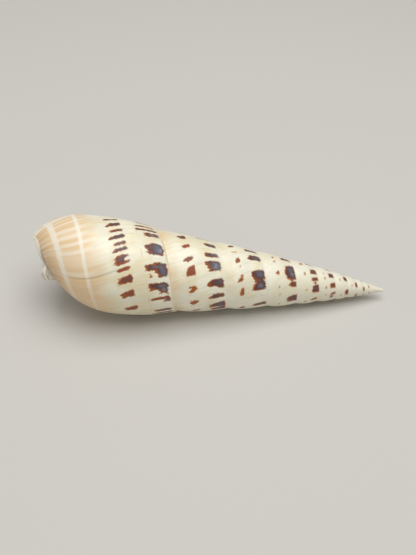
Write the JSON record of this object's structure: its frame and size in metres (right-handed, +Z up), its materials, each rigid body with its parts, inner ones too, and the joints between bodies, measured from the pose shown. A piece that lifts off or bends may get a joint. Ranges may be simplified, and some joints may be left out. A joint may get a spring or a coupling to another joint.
{
  "type": "spotted auger shell",
  "caption": "Long pointed spiral sea shell with flat-sided whorls, a short canal notch and a hollow last whorl, lying on its side.",
  "frame": {"origin": "centre of the shell's footprint box, on the surface that it lies on", "axes": "+X along the shell towards its pointed tip, +Z up, +Y towards the side that the mouth opens to"},
  "size_m": [0.1464, 0.0394, 0.0409],
  "materials": {
    "shell": "glossy cream shell with dark purple-brown blotches in spiral rows"
  },
  "bodies": {
    "root": {"shell": "shell"}
  },
  "joints": []
}
